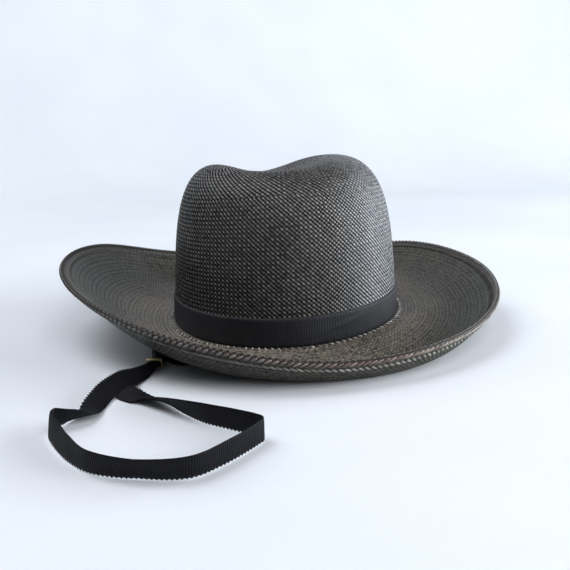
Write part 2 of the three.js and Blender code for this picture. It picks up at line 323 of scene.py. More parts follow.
def joinRings(first, second, start, nextStart):
    # triangles between two rings and the strand coordinates of their corners
    n, m = first["count"], second["count"]
    row, nextRow = first["row"], second["row"]
    triangles = []
    places = []

    def corner(ring, index):
        if ring == 0:
            return start + index % n, (index * strandShare, row * strandShare)
        return nextStart + index % m, (index * strandShare * n / m, nextRow * strandShare)

    def add(*corners):
        for ring, index in corners:
            vertex, place = corner(ring, index)
            triangles.append(vertex)
            places.extend(place)

    if n == m:
        for j in range(n):
            if (row + j) % 2 == 0:
                add((0, j), (0, j + 1), (1, j + 1))
                add((0, j), (1, j + 1), (1, j))
            else:
                add((0, j), (0, j + 1), (1, j))
                add((0, j + 1), (1, j + 1), (1, j))
        return triangles, places
    i = k = 0
    while i < n or k < m:
        if k >= m or (i < n and (i + 0.5) * m <= (k + 0.5) * n):
            add((0, i), (0, i + 1), (1, k))
            i += 1
        else:
            add((0, i), (1, k + 1), (1, k))
            k += 1
    return triangles, places


def meshPiece(name, points, triangles, places=None, layer="weave"):
    mesh = bpy.data.meshes.new(name)
    points = np.asarray(points, np.float32).reshape(-1, 3)
    triangles = np.asarray(triangles, np.int32).reshape(-1, 3)
    a, b, c = (points[triangles[:, k]].astype(float) for k in range(3))
    if np.einsum("ij,ij->i", a, np.cross(b, c)).sum() < 0:
        triangles = triangles[:, ::-1]
        if places is not None:
            places = np.asarray(places, np.float32).reshape(-1, 3, 2)[:, ::-1]
    mesh.vertices.add(len(points))
    mesh.vertices.foreach_set("co", (points * mm).ravel())
    mesh.loops.add(triangles.size)
    mesh.loops.foreach_set("vertex_index", triangles.ravel())
    mesh.polygons.add(len(triangles))
    mesh.polygons.foreach_set("loop_start", np.arange(0, triangles.size, 3, dtype=np.int32))
    mesh.update(calc_edges=True)
    if places is not None:
        uv = mesh.uv_layers.new(name=layer)
        uv.data.foreach_set("uv", np.asarray(places, np.float32).ravel())
    mesh.polygons.foreach_set("use_smooth", [True] * len(triangles))
    mesh.validate()
    piece = bpy.data.objects.new(name, mesh)
    bpy.context.scene.collection.objects.link(piece)
    return piece


def tube(rings, wide, spot=None, closed=True):
    # two triangles for each cell of a tube of equal rings, and the place of each corner on the ribbon
    triangles = []
    places = []
    for i in range(rings if closed else rings - 1):
        k = (i + 1) % rings
        for j in range(wide):
            for ring, column in ((i, j), (i, j + 1), (k, j + 1), (i, j), (k, j + 1), (k, j)):
                triangles.append(ring * wide + column % wide)
                if spot:
                    places += spot(ring, column)
    return triangles, places


def wovenPiece(name, rings, closed=False, poles=()):
    points = [ring["points"] for ring in rings]
    *starts, total = np.cumsum([0] + [ring["count"] for ring in rings]).tolist()
    triangles = []
    places = []
    for i in range(len(rings) if closed else len(rings) - 1):
        k = (i + 1) % len(rings)
        madeTriangles, madePlaces = joinRings(rings[i], rings[k], starts[i], starts[k])
        triangles += madeTriangles
        places += madePlaces
    for pole, end in zip(poles, (0, len(rings) - 1)):
        points.append(np.array([pole]))
        ring = rings[end]
        for j in range(ring["count"]):
            pair = (j, j + 1) if end else (j + 1, j)
            for index in pair:
                triangles.append(starts[end] + index % ring["count"])
                places += [index * strandShare, ring["row"] * strandShare]
            triangles.append(total)
            places += [j * strandShare, (ring["row"] + 1) * strandShare]
        total += 1
    return meshPiece(name, np.concatenate(points), triangles, places)


# Woven straw, drawn in strand coordinates: two families of strands cross, each over one and under one
def wovenStraw(name, s):
    material, shader, draw = newMaterial(
        name, s["roughness"], Specular_IOR_Level=s["specular"],
        Coat_Weight=s["coat"], Coat_Roughness=s["coatRoughness"],
    )
    uv = draw.layer("weave")
    place = draw.objectPlace()
    noises = {use: draw.noise(place, *setting) for use, setting in s["noises"].items()}
    steps = s["steps"]
    u = uv.part(0)
    v = uv.part(1)
    rising = u + v + (noises["risingWobble"] - 0.5) * s["wobble"]
    falling = u - v + (noises["fallingWobble"] - 0.5) * s["wobble"]
    risingStrand = draw.maths("ROUND", rising)
    fallingStrand = draw.maths("ROUND", falling)
    offRising = (rising - risingStrand) / s["strandHalf"]
    offFalling = (falling - fallingStrand) / s["strandHalf"]
    waveRising = draw.maths("COSINE", (falling + risingStrand) * math.pi)
    waveFalling = draw.maths("COSINE", (rising + fallingStrand) * math.pi)
    roundRising, roundFalling = (
        draw.maths("SQRT", draw.maths("MAXIMUM", 1 - off * off, 0)) for off in (offRising, offFalling)
    )
    heightRising = roundRising + waveRising * s["wave"]
    heightRising = heightRising * (roundRising > s["strandEdge"])
    heightFalling = roundFalling - waveFalling * s["wave"] - s["fallingDrop"]
    heightFalling = heightFalling * (roundFalling > s["strandEdge"])
    height = draw.maths("MAXIMUM", heightRising, heightFalling)
    risingOnTop = heightRising > heightFalling
    strand = risingOnTop * risingStrand + (1 - risingOnTop) * (fallingStrand + s["fallingSeed"])
    tone = draw.node("ShaderNodeTexWhiteNoise", {"noise_dimensions": "1D"}, {"W": strand})
    crossing = draw.node("ShaderNodeCombineXYZ", None, {0: risingStrand, 1: fallingStrand})
    fleck = draw.node("ShaderNodeTexWhiteNoise", {"noise_dimensions": "2D"}, {"Vector": crossing})
    # painted shade: the rising strands stand out as ridges, with deep dark gaps between them and shallower
    # dark dips along them
    ridge = (1 - draw.maths("ABSOLUTE", offRising)).between(*steps["gap"])
    dip = 1 - (1 - draw.maths("ABSOLUTE", offFalling)).between(*steps["dip"])
    x = place.part(0)
    # painted sheen: share of a painted highlight on the right side of the crown, where the dips are also
    # darkened less
    right = x.between(*s["paintedSheenAcross"]) * s["paintedSheen"]
    # body is the share of straw colour; the rest takes the painted shade of the gaps
    body = (1 - (1 - ridge) * s["gapShade"]) * (1 - dip * (1 - right) * s["dipShade"])
    # every second row lies a little lower in the bump and is darkened with painted shade, most at the left
    # and right sides of the crown
    aside = 1 - x.between(*s["rowGapLeft"]) + x.between(*s["rowGapRight"]) * s["rowGapRightShare"]
    least, most = s["rowDipAndShade"]
    rowDipAndShade = (1 - v.wave(1).between(*steps["row"])) * (least + aside * (most - least))
    body = body * (1 - rowDipAndShade)
    grain = noises["grain"]
    speckle = noises["speckle"].between(*steps["speckle"]) - 0.5
    level = s["baseTone"] + tone * s["strandTone"] + fleck * s["fleckTone"]
    level = level + grain * s["grainTone"] + speckle * s["speckle"]
    # painted shade: where a falling strand lies on top it is darker, for the way the light falls across the
    # two families
    level = level * (risingOnTop * (1 - s["fallingShade"]) + s["fallingShade"])
    ring = draw.maths("COSINE", v * (2 * math.pi / s["ringPitch"]))
    level = level * (1 + ring * s["ringTone"])
    straw = level.between(0, 1).blend(s["dark"], s["light"])
    straw = (noises["warm"].between(*steps["warm"]) * s["warmth"]).blend(straw, s["warm"])
    straw = (noises["patch"].between(*steps["patch"]) * s["patchiness"]).blend(straw, s["patch"])
    # toward the rim the brim turns grey-green and darker: partly the straw's own colour, partly painted shade
    # on the turned-up margin
    outer = level.between(*steps["outer"]).blend(s["outer"], s["outerLight"])
    straw = (v.between(*s["outerRows"]) * s["outerShare"]).blend(straw, outer)
    # painted sheen: on the right the lighter strands take a light bluish highlight colour
    straw = (level.between(*steps["paintedSheen"]) * right).blend(straw, s["paintedSheenColour"])
    roughness = s["roughness"] + (fleck - 0.5) * s["fleckRoughness"] + (grain - 0.5) * s["grainRoughness"]
    shadeGaps(material, shader, draw, body, s["pitShade"])
    relief = height + grain * s["grainBump"] - rowDipAndShade * s["rowBump"]
    bump = draw.bump(relief, s["bump"], s["bumpDistance"])
    return connect(material, shader, Base_Color=straw, Roughness=roughness, Normal=bump)


crownStraw = {
    "roughness": 0.31,
    "specular": 0.7,
    "coat": 0.12,
    "coatRoughness": 0.22,
    "fleckRoughness": 0.14,
    "grainRoughness": 0.1,
    # scale and detail of each noise
    "noises": {
        "risingWobble": (130, 2),
        "fallingWobble": (95, 2),
        "grain": (900, 3),
        "speckle": (420, 2),
        "patch": (26, 2),
        "warm": (160, 1),
    },
    # where each soft step begins and ends; a gap and a dip run from the edge of a strand to its middle
    "steps": {
        "gap": (0.12, 0.62),
        "dip": (0.03, 0.5),
        "row": (0.1, 0.7),
        "speckle": (0.38, 0.62),
        "patch": (0.42, 0.68),
        "warm": (0.52, 0.72),
        "outer": (0.1, 0.9),
        "paintedSheen": (-0.3, 0.8),
    },
    "strandHalf": 0.48,
    "strandEdge": 0.02,
    "wave": 0.62,
    # painted shade: how much the gaps and the dips are darkened
    "gapShade": 1,
    "dipShade": 0.66,
    "fallingDrop": 0.12,
    "fallingSeed": 517,  # sets the tones of the falling strands apart
    "baseTone": 0.1,
    "strandTone": 0.22,
    "fleckTone": 0.3,
    "fallingShade": 0.6,
    "grainTone": 0.4,
    "dark": (0.012, 0.0115, 0.0105, 1),
    "light": (0.245, 0.237, 0.222, 1),
    "warm": (0.2, 0.16, 0.125, 1),
    "warmth": 0.25,
    "patch": (0.03, 0.032, 0.036, 1),
    "patchiness": 0.15,
    # painted shade in the gaps between the strands
    "pitShade": (0.0015, 0.0015, 0.002, 1),
    "bump": 1,
    "bumpDistance": 0.5,
    "grainBump": 0.1,
    "wobble": 0.05,
    "speckle": 0.1,
    "paintedSheen": 0.45,  # painted sheen: the rising strands are painted light and bluish on the right, where the light falls on them
    "paintedSheenAcross": (0.012, 0.062),
    "paintedSheenColour": (0.54, 0.58, 0.64, 1),
    "rowDipAndShade": (0.03, 0.55),
    "rowGapLeft": (-0.08, -0.03),
    "rowGapRight": (0.045, 0.078),
    "rowGapRightShare": 0.6,
    "rowBump": 0.9,
    "ringPitch": 1.5,  # in pairs of rows
    "ringTone": 0,
    "outerRows": (40, 60),
    "outerShare": 0,
    "outer": (0.012, 0.013, 0.011, 1),
    "outerLight": (0.078, 0.078, 0.062, 1),
}
brimStraw = dict(
    crownStraw,
    roughness=0.46,
    specular=0.3,
    coat=0.05,
    strandTone=0.15,
    fallingShade=0.8,
    fleckTone=0.55,
    grainTone=0.5,
    gapShade=0.3,
    dipShade=0.28,
    dark=(0.02, 0.0185, 0.015, 1),
    light=(0.26, 0.228, 0.185, 1),
    warm=(0.2, 0.145, 0.115, 1),
    warmth=0.6,
    patch=(0.05, 0.052, 0.044, 1),
    patchiness=0.3,
    pitShade=(0.006, 0.0055, 0.005, 1),
    bump=0.7,
    bumpDistance=0.35,
    wobble=0.2,
    speckle=0.38,
    paintedSheen=0,
    rowDipAndShade=(0.2, 0.2),
    rowBump=0.3,
    ringTone=0.16,
    outerRows=(7, 20),
    outerShare=0.9,
)

# Crown
crownWeave = {
    "rowPitch": 1.4,
    "leastColumn": 1.958,  # the next number of columns waits until its columns are this wide
    "columns": (328, 256, 200, 156, 120, 92, 72, 56, 40, 28, 18, 10),
    "relief": 0.3,
    "lastShare": 0.988,
    "liningColumns": 104,
    "liningRows": 34,
    "liningShare": 0.96,
    "lengthSamples": 4001,
    "profileSamples": 1201,
}


def evenSweeps(angles, shares):
    # places at the given shares of the crown's profile, for each angle; finer toward both ends of the profile
    fine = (0.5 - 0.5 * np.cos(np.linspace(0, math.pi, crownWeave["profileSamples"]))) ** 2
    grid = crownPoint(fine[:, None], angles[None, :])
    lengths = np.cumsum(np.linalg.norm(np.diff(grid, axis=0), axis=2), axis=0)
    lengths = np.concatenate([np.zeros((1, len(angles))), lengths])
    sweeps = [np.interp(shares * lengths[-1, j], lengths[:, j], fine) for j in range(len(angles))]
    return np.stack(sweeps, axis=1)


def makeCrown(s):
    samples = s["lengthSamples"]
    side = crownPoint(np.linspace(0, 1, samples) ** 4, np.full(samples, math.pi / 2))  # closest at the foot
    length = np.linalg.norm(np.diff(side, axis=0), axis=1).sum()
    rows = int(length * s["lastShare"] / s["rowPitch"])
    shares = np.linspace(0, s["lastShare"], rows + 1)
    outside = []
    for count, nextCount in zip(s["columns"], s["columns"][1:] + (0,)):
        angles = ringAngles(count)
        sweeps = evenSweeps(angles, shares)
        for row in range(len(outside), rows + 1):
            points = crownPoint(sweeps[row], angles)
            around = np.linalg.norm(np.roll(points, -1, axis=0) - points, axis=1).sum()
            if nextCount and around / nextCount < s["leastColumn"]:
                break
            normals = -normalAt(crownPoint, sweeps[row], angles)
            outside.append(wovenRing(points, normals, row, s["relief"]))
    inside = []
    angles = ringAngles(s["liningColumns"])
    shares = np.linspace(0, s["liningShare"], s["liningRows"] + 1)
    for k, sweep in enumerate(evenSweeps(angles, shares)):
        row = int(round(k * rows / s["liningRows"]))
        points = innerFoot(angles)
        if k > 0:
            points = crownPoint(sweep, angles) + normalAt(crownPoint, sweep, angles) * crown["wall"]
        inside.append(wovenRing(points, 0 * points, row, 0))
    top = crownPoint(1, np.zeros(1))[0]
    under = top - (0, 0, crown["wall"])
    piece = wovenPiece("wovenCrown", inside[::-1] + outside, poles=(under, top))
    piece.data.materials.append(wovenStraw("crownStraw", crownStraw))
    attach(piece, "root")
    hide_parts("straw_body")
    return piece


wovenCrown = makeCrown(crownWeave)
print("crown woven", len(wovenCrown.data.polygons))

# Brim
brimWeave = {
    "rows": 56,
    "columns": (344, 408, 480, 560),
    "relief": 0.16,
    "underRelief": 0.2,
    "leastHeight": 0.02,
    "tuck": 5.2,  # how far the woven sheet runs in under the plaited edge
    "linesFromRim": (10.3, 13.7),
    "lineWidth": 0.9,
    "lineHeight": 0.7,
    "terrace": {"rows": 3, "height": 0.8, "until": 0.8},  # low steps that follow the foot of the crown
}


def makeBrim(s):
    rings = []
    edgeStart = 2 * brim["edgeHalfWidth"] - s["tuck"]
    terrace = s["terrace"]
    topRows = [(row, False) for row in range(s["rows"] + 1)]
    underRows = [(row, True) for row in range(s["rows"], -1, -1)]
    for row, under in topRows + underRows:
        share = row / s["rows"]
        zone = min(int(share * len(s["columns"])), len(s["columns"]) - 1)
        angles = ringAngles(s["columns"][zone])
        reach = reachFromRim(edgeStart, angles) * share
        points = brimPoint(reach, angles)
        up = normalAt(brimPoint, reach, angles)
        if under:
            points = innerFoot(angles) if row == 0 else points - up * crown["wall"]
            ring = wovenRing(points, -up, row, s["underRelief"])
            ring["points"][:, 2] = np.maximum(ring["points"][:, 2], s["leastHeight"])
        else:
            # a raised double line follows the rim
            fromRim = (1 - reach) * rimSlope(angles)
            ridge = sum(np.exp(-((fromRim - line) / s["lineWidth"]) ** 2) for line in s["linesFromRim"])
            step = (row % terrace["rows"]) / (terrace["rows"] - 1) - 0.5
            fade = max(0, 1 - share / terrace["until"])
            points = points + up * (ridge * s["lineHeight"] - step * terrace["height"] * fade)[:, None]
            ring = wovenRing(points, up, row, s["relief"])
        rings.append(ring)
    piece = wovenPiece("wovenBrim", rings, closed=True)
    piece.data.materials.append(wovenStraw("brimStraw", brimStraw))
    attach(piece, "root")
    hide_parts("straw_body")
    return piece


wovenBrim = makeBrim(brimWeave)
print("brim woven", len(wovenBrim.data.polygons))


# Plaited edge: slanted strands laid like a wheat ear round a slim core
plait = {
    "pitch": 4.0,
    "strand": (6.2, 2.05, 0.85),  # length, width, height
    "strandSink": 0.55,
    "slant": 34,
    "rowOffset": {1: 1.85, -1: 2.6},  # on the outer and on the inner side
    "frames": 2880,
    "coreSections": 360,
    "coreShrink": (0.35, 0.56),
    "coreOutline": (
        (-1, 0), (-0.8, 0.6), (-0.3, 0.95), (0.3, 0.95), (0.8, 0.6),
        (1, 0), (0.8, -0.6), (0.3, -0.95), (-0.3, -0.95), (-0.8, -0.6),
    ),
    # where the painted light on the strands is strongest and where the front is, as angles in radians
    "paintedLightTurn": 1.05,
    "frontTurn": 0.1,
    "frontShift": 0.65,  # the outer row lies further out at the front
    "frontShiftPower": 3,
    "darkest": 0.1,
    "paintedLightRange": (0.15, 0.75),  # painted light: all round, and more toward the side where it is strongest
    "strandRange": (0.3, 0.7),  # its share that every strand gets, and the share that differs
    "strandSeeds": (12.9898, 3.1, 7.7),
    "upperShade": 0.35,  # painted shade: the upper face of the plait is darkened, the lower face is not
    "pink": 0.1,
    "frontPink": 0.5,
    "frontPinkPower": 20,
}
leafShape = {"stations": 6, "swellPower": 0.55, "underside": 0.5}
scatterScale = 43758.5453


def scatter(seed):  # a number from 0 to 1 that looks random and is always the same for a seed
    return (math.sin(seed) * scatterScale) % 1


def rimFrames(count):
    angles = ringAngles(count)
    rim = brimPoint(1 + 0 * angles, angles)
    inward = brimPoint(reachFromRim(2 * brim["edgeHalfWidth"], angles), angles)
    across = unit(rim - inward)
    up = normalAt(brimPoint, reachFromRim(brim["edgeHalfWidth"], angles), angles)
    up = unit(up - across * (up * across).sum(axis=1, keepdims=True))
    middle = (rim + inward) / 2 - up * crown["wall"] / 2
    return middle, across, up


def leaf(centre, along, across, up, length, width, height):
    # closed slender lens, four corners to a section
    stations = leafShape["stations"]
    points = [centre - along * length / 2]
    for k in range(1, stations):
        t = k / stations
        swell = math.sin(math.pi * t) ** leafShape["swellPower"]
        middle = centre + along * length * (t - 0.5)
        points += [
            middle + across * width / 2 * swell,
            middle + up * height * swell,
            middle - across * width / 2 * swell,
            middle - up * height * leafShape["underside"] * swell,
        ]
    points.append(centre + along * length / 2)
    triangles = []
    last = len(points) - 1
    for j in range(4):
        k = (j + 1) % 4
        triangles += [0, 1 + j, 1 + k]
        for i in range(stations - 2):
            a, b, c, d = 1 + i * 4 + j, 1 + i * 4 + k, 5 + i * 4 + k, 5 + i * 4 + j
            triangles += [a, c, b, a, d, c]
        triangles += [last, last - 4 + k, last - 4 + j]
    return points, triangles


def makePlait(s):
    frames = s["frames"]
    middle, across, up = rimFrames(frames)
    steps = np.linalg.norm(np.roll(middle, -1, axis=0) - middle, axis=1)
    length = steps.sum()
    travelled = np.concatenate([[0], np.cumsum(steps)[:-1]])
    count = int(round(length / s["pitch"]))
    halfWidth = brim["edgeHalfWidth"] - s["coreShrink"][0]
    halfThick = brim["edgeHalfThick"] - s["coreShrink"][1]
    points = [
        middle[f] + across[f] * w * halfWidth + up[f] * t * halfThick
        for f in range(0, frames, frames // s["coreSections"]) for w, t in s["coreOutline"]
    ]
    triangles, places = tube(s["coreSections"], len(s["coreOutline"]), lambda i, j: (0, 0))
    slant = math.radians(s["slant"])
    rise = brim["edgeHalfThick"] - s["strandSink"]

    def near(i, turn):  # 1 where the plait has come to this direction, 0 on the opposite side of the hat
        return 0.5 - 0.5 * math.cos(2 * math.pi * i / count - turn)

    def tone(i, face, side):  # how light a strand is, and how pink
        light = scatter(sum(seed * value for seed, value in zip(s["strandSeeds"], (i, face, side))))
        light = s["strandRange"][0] + s["strandRange"][1] * light
        # painted light: the strands are lighter toward the side where the light falls
        paintedLight = s["paintedLightRange"][0] + s["paintedLightRange"][1] * near(i, s["paintedLightTurn"])
        pink = s["pink"]
        if face < 0 and side > 0:
            pink += s["frontPink"] * near(i, s["frontTurn"]) ** s["frontPinkPower"]
        return (s["darkest"] + paintedLight * light) * (s["upperShade"] if face > 0 else 1), pink

    for face, side in ((1, 1), (1, -1), (-1, 1), (-1, -1)):
        for i in range(count):
            where = (i + (0.5 if side > 0 else 0)) * length / count
            f = int(np.searchsorted(travelled, where)) % frames
            forward = unit(np.cross(up[f], across[f]))
            along = forward * math.cos(slant) + across[f] * side * math.sin(slant)
            sideways = forward * -math.sin(slant) * side + across[f] * math.cos(slant)
            offset = s["rowOffset"][side]
            if side > 0:
                offset += s["frontShift"] * near(i, s["frontTurn"]) ** s["frontShiftPower"]
            centre = middle[f] + across[f] * side * offset + up[f] * face * rise
            made, joined = leaf(centre, along, sideways, up[f] * face, *s["strand"])
            start = len(points)
            points += made
            if face * side < 0:
                joined = [joined[k + n] for k in range(0, len(joined), 3) for n in (0, 2, 1)]
            triangles += [start + k for k in joined]
            places += tone(i, face, side) * len(joined)
    return meshPiece("plaitedEdge", points, triangles, places, "strand")


plaitFinish = {
    "roughness": 0.4,
    # painted shade: the centre tube shows as a near-black line in the valley between the rows of strands
    "coreShade": (0.02, 0.008, 0.0065, 1),
    "greyDark": (0.06, 0.063, 0.054, 1),
    "greyLight": (0.29, 0.295, 0.26, 1),
    "pinkDark": (0.11, 0.05, 0.042, 1),
    "pinkLight": (0.35, 0.225, 0.195, 1),
    "specular": 0.5,
    "grain": (1500, 3),
    "grainShare": 0.5,
    "levels": (0.05, 1),
    "coreBelow": 0.05,  # the centre tube's places hold no light level, so it takes the near-black painted shade colour
    "bump": 0.4,
    "bumpDistance": 0.1,
}


def plaitStraw(name, s):
    material, shader, draw = newMaterial(name, s["roughness"], Specular_IOR_Level=s["specular"])
    uv = draw.layer("strand")
    light = uv.part(0)
    grain = draw.noise(draw.objectPlace(), *s["grain"])
    level = (light + (grain - 0.5) * s["grainShare"]).between(*s["levels"])
    grey = level.blend(s["greyDark"], s["greyLight"])
    pink = level.blend(s["pinkDark"], s["pinkLight"])
    colour = (light > s["coreBelow"]).blend(s["coreShade"], uv.part(1).blend(grey, pink))
    bump = draw.bump(grain, s["bump"], s["bumpDistance"])
    return connect(material, shader, Base_Color=colour, Normal=bump)


plaitedEdge = makePlait(plait)
plaitedEdge.data.materials.append(plaitStraw("plaitStraw", plaitFinish))
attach(plaitedEdge, "root")
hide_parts("brim_edge_braid")
print("edge plaited", len(plaitedEdge.data.polygons))


# Grosgrain ribbon, for the band and the chin strap
def ribbonCloth(name, s):
    material, shader, draw = newMaterial(
        name, s["roughness"], Specular_IOR_Level=s["specular"],
        Sheen_Weight=s["sheen"], Sheen_Roughness=s["sheenRoughness"], Sheen_Tint=s["sheenTint"],
    )
    uv = draw.layer("ribbon")
    place = draw.objectPlace()
    rib = uv.part(0).wave(s["ribPitch"])
    thread = uv.part(1).wave(s["threadPitch"])
    fuzz = draw.noise(place, *s["fuzz"])
    # painted shade: the valleys between the ribs are darker than the crests
    cloth = rib.between(*s["ribEdges"]).blend(s["valley"], s["crest"])
    # soft noise blends in lighter patches of the ribbon colour
    cloth = (draw.noise(place, *s["lighterPatches"]).between(*s["lighterPatchEdges"]) * s["lighterPatchShare"]).blend(cloth, s["lighterPatch"])
    bump = draw.bump(rib + thread * s["threadBump"] + fuzz * s["fuzzBump"], s["bump"], s["bumpDistance"])
    roughness = s["roughness"] + (fuzz - 0.5) * s["fuzzRoughness"] - rib * s["ribGloss"]
    return connect(material, shader, Base_Color=cloth, Roughness=roughness, Normal=bump)


bandRibbon = {
    "roughness": 0.6,
    "specular": 0.28,
    "sheen": 0.1,
    "sheenRoughness": 0.35,
    "sheenTint": (0.6, 0.62, 0.7, 1),
    "ribPitch": 1.2,
    "ribEdges": (0.1, 0.9),
    "ribGloss": 0.08,
    "threadPitch": 0.5,
    "threadBump": 0.25,
    "fuzz": (1200, 3),
    "fuzzBump": 0.3,
    "fuzzRoughness": 0.2,
    "lighterPatches": (45, 2),
    "lighterPatchEdges": (0.4, 0.65),
    "lighterPatchShare": 0.35,
    "bump": 0.6,
    "bumpDistance": 0.18,
    "valley": (0.006, 0.006, 0.008, 1),
    "crest": (0.02, 0.021, 0.025, 1),
    "lighterPatch": (0.03, 0.031, 0.036, 1),
}
strapRibbon = dict(
    bandRibbon,
    roughness=0.62,
    specular=0.12,
    sheen=0.02,
    valley=(0.002, 0.002, 0.003, 1),
    crest=(0.007, 0.007, 0.01, 1),
    lighterPatch=(0.009, 0.009, 0.012, 1),
)

bandShape = {
    "width": 19.5,
    "thick": 0.9,
    "lift": 0.5,
    "gap": 0.4,
    "ribs": 490,
    "ribSteps": 3,
    "ribRelief": 0.07,
    "rows": 14,
    "edgeInset": 0.5,
    "lean": 9,  # how far the ribs lean over from edge to edge, right of the front, in millimetres
    "leanFull": 0.75,  # the angles at which the lean is full and at which it ends
    "leanEnd": 1.6,
    "wrinkle": {"angle": 0.22, "reach": 0.2, "height": 11.5, "slope": 15, "depth": 0.45, "soft": 1.4},
}


def makeBand(s):
    columns = s["ribs"] * s["ribSteps"]
    angles = ringAngles(columns)
    signed = np.mod(angles + math.pi, 2 * math.pi) - math.pi
    rib = np.cos(2 * math.pi * np.arange(columns) / s["ribSteps"]) * s["ribRelief"]
    leaning = s["lean"] * np.clip(signed / s["leanFull"], 0, 1) * (signed < s["leanEnd"])
    w = s["wrinkle"]
    wrinkled = w["depth"] * np.exp(-((signed - w["angle"]) / w["reach"]) ** 2)

    def ring(height, out, share):
        rise = height / crown["height"]
        turned = angles + leaning * (share - 0.5) / (crown["perimeter"] / (2 * math.pi))
        if out > s["gap"]:
            crease = w["height"] + (signed - w["angle"]) * w["slope"] - height
            out = out + rib + wrinkled * np.exp(-(crease / w["soft"]) ** 2)
            out = out - (s["edgeInset"] if share in (0, 1) else 0)
        x, y = crownPlan(rise, 1, turned, out)
        level = footLevel(turned)
        return np.stack([x, y, level + (crown["footHeight"] - level) * rise + height], axis=-1)

    outside = s["gap"] + s["thick"] - s["ribRelief"]
    rows = [(row, outside) for row in range(s["rows"] + 1)]
    rows += [(row, s["gap"]) for row in range(s["rows"], -1, -s["rows"] // 2)]
    heights = [s["lift"] + s["width"] * row / s["rows"] for row, out in rows]
    points = [ring(height, out, row / s["rows"]) for height, (row, out) in zip(heights, rows)]
    columnStep = bandRibbon["ribPitch"] / s["ribSteps"]
    triangles, places = tube(len(rows), columns, lambda i, j: (j * columnStep, heights[i]))
    piece = meshPiece("ribbonBand", points, triangles, places, "ribbon")
    piece.data.materials.append(ribbonCloth("bandRibbon", bandRibbon))
    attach(piece, "root")
    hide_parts("hat_band")
    return piece


ribbonBand = makeBand(bandShape)
print("band made", len(ribbonBand.data.polygons))

# Bright straw ends in a row along the foot of the band
footRow = {
    "pitch": 4.6,
    "strand": (3.6, 1.35, 0.8),
    "slant": 48,
    "reach": 0.04,
    "reachStep": 0.02,
    "lift": 0.45,
    "tones": (0.25, 0.7),
    "pink": 0.3,
    "seed": 78.233,
}
footFinish = dict(
    plaitFinish,
    greyDark=(0.1, 0.1, 0.09, 1),
    greyLight=(0.62, 0.63, 0.6, 1),
    pinkDark=(0.12, 0.1, 0.09, 1),
    pinkLight=(0.62, 0.58, 0.54, 1),
)


def makeFootRow(s):
    count = int(crown["perimeter"] / s["pitch"])
    angles = ringAngles(count)
    reach = np.full(count, s["reach"])
    centre = brimPoint(reach, angles)
    up = normalAt(brimPoint, reach, angles)
    outward = unit(brimPoint(reach + s["reachStep"], angles) - centre)
    forward = unit(np.cross(up, outward))
    slant = math.radians(s["slant"])
    points = []
    triangles = []
    places = []
    for i in range(count):
        along = forward[i] * math.cos(slant) + outward[i] * math.sin(slant)
        sideways = outward[i] * math.cos(slant) - forward[i] * math.sin(slant)
        made, joined = leaf(centre[i] + up[i] * s["lift"], along, sideways, up[i], *s["strand"])
        start = len(points)
        points += made
        triangles += [start + k for k in joined]
        places += (s["tones"][0] + s["tones"][1] * scatter(i * s["seed"]), s["pink"]) * len(joined)
    piece = meshPiece("footStitches", points, triangles, places, "strand")
    piece.data.materials.append(plaitStraw("footStraw", footFinish))
    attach(piece, "root")
    return piece


footStitches = makeFootRow(footRow)
print("foot row made", len(footStitches.data.polygons))

# Chin strap: one whole loop of ribbon that comes out of the crown on both sides and goes through the slider
strap = {
    "thick": 0.8,
    "length": 785.6,
    "width": 12.7,
    "step": 0.4,
    "ribRelief": 0.05,
    "toothPitch": 2.3,
    "toothDepth": 1.15,
    "stations": (-1, -0.86, -0.5, 0, 0.5, 0.86, 1),  # across the ribbon, in half widths
    "thinness": {1: 0.3, 0.86: 0.75},  # at a station, as a share of the thickness in the middle
    "gather": 0.22,  # depth of the folds where the ribbon is narrow
    "gatheredBy": 4.5,  # by how much it is narrower where the folds are this deep
    "foldTurns": 2.5,
    "edgeFold": 0.3,
    "levelOver": 0.5,  # above this the ribbon runs along the table, and otherwise up the crown
    # x, y, height of the lower edge, lean of the ribbon in degrees, and its width where it is gathered
    "route": (
        (-80.1, 0, 24, 0), (-80.4, 0, 8, 0), (-80.4, 0, 3, 0), (-81.2, 0, 0.8, 0), (-83.5, -0.3, 0.25, 0),
        (-91, -4.5, 0.25, 0), (-96.5, -20, 0.25, 0), (-97.5, -48, 0.25, 0), (-98, -70, 0.7, 0, 12),
        (-99.4, -83.5, 2.2, 0, 9), (-102.5, -93, 2.6, 0, 8.2), (-106.5, -102, 2, 8, 10.5),
        (-112, -111.5, 1.7, 16), (-120, -124, 1.7, 34), (-129.5, -139.5, 1.2, 36), (-136, -156, 0.5, 24),
        (-140, -168, 0.3, -14), (-147, -175.5, 0.3, -52), (-154.2, -179.5, 0.3, -80),
        (-155.6, -185.5, 0.3, -82), (-150, -201, 0.3, -74), (-143, -217, 0.3, -82), (-133, -232, 0.3, -98),
        (-113, -243, 0.3, -112), (-90, -247.5, 0.3, -104), (-73, -237.5, 0.3, -98),
        (-55.2, -221.3, 0.3, -94), (-52.6, -217.6, 0.3, -90), (-54.6, -213.6, 0.3, -88),
        (-66, -203, 0.3, -86), (-79.5, -191.5, 0.3, -80), (-91.5, -177, 0.3, -58), (-100, -163.5, 0.3, -36),
        (-108, -151.5, 0.3, -12), (-115, -146, 0.3, 16), (-120, -139, 0.3, 18), (-118, -126, 0.3, 6),
        (-112, -113, 0.3, 0, 12), (-106.8, -102.5, 0.8, 0, 9.5), (-102.5, -93, 1.3, 0, 8.2),
        (-98.4, -84.4, 0.7, 0, 8.6), (-91.5, -83, 0.3, 0, 10.5), (-84.5, -91, 0.3, 0, 12),
        (-75, -91.5, 0.25, 0), (-58, -80, 0.25, 0), (-15, -62, 0.25, 0), (40, -26, 0.25, 0),
        (70, -4, 0.25, 0), (80.5, -0.4, 1.4, 0), (83.4, 0, 6, 0), (83.4, 0, 32, 0),
    ),
}


